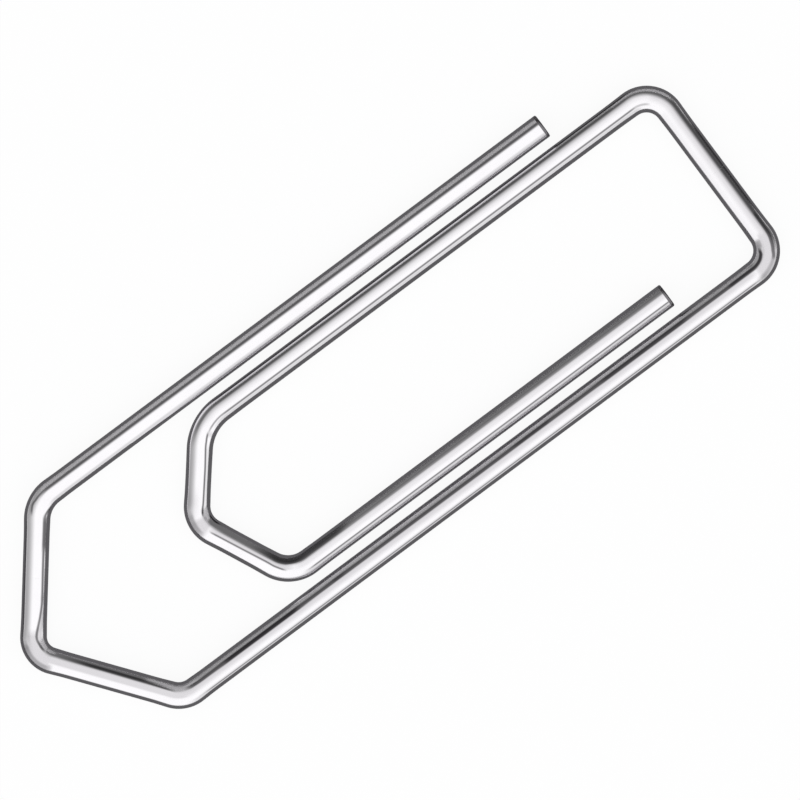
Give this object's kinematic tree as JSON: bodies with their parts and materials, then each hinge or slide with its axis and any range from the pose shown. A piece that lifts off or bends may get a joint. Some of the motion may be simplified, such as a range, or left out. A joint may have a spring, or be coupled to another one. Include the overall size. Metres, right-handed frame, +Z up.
{
  "type": "paper clip",
  "caption": "Pointed paper clip of one round plated steel wire, bent flat into an outer and an inner loop that grip paper between them.",
  "frame": {"origin": "on the surface that the clip lies on, at the middle of its length and width", "axes": "+X along the legs, from the two pointed noses to the straight end bar; +Y across the legs, towards the outer free leg; +Z up, square to the flat of the clip"},
  "size_m": [0.033, 0.0104, 0.001],
  "materials": {
    "wire": "bright plated and polished drawn steel wire"
  },
  "bodies": {
    "outer_loop": {"outer_loop": "wire"},
    "inner_loop": {"inner_loop": "wire"},
    "outer_leg": {"outer_leg": "wire"},
    "inner_leg": {"inner_leg": "wire"}
  },
  "joints": [
    {"name": "tongue_opening", "type": "hinge", "parent": "outer_loop", "child": "inner_loop", "pos_m": [0.016, -0.00068, 0.0005], "axis": [0, 1, 0], "range_deg": [0, 10], "stiffness_Nm_per_rad": 0.35},
    {"name": "outer_leg_lift", "type": "hinge", "parent": "outer_loop", "child": "outer_leg", "pos_m": [-0.01441, 0.0024, 0.0005], "axis": [-0.6214, -0.7835, 0], "range_deg": [0, 6], "stiffness_Nm_per_rad": 0.38},
    {"name": "inner_leg_lift", "type": "hinge", "parent": "inner_loop", "child": "inner_leg", "pos_m": [-0.00728, -0.00149, 0.0005], "axis": [0.4206, -0.9073, 0], "range_deg": [0, 5], "stiffness_Nm_per_rad": 0.65}
  ]
}
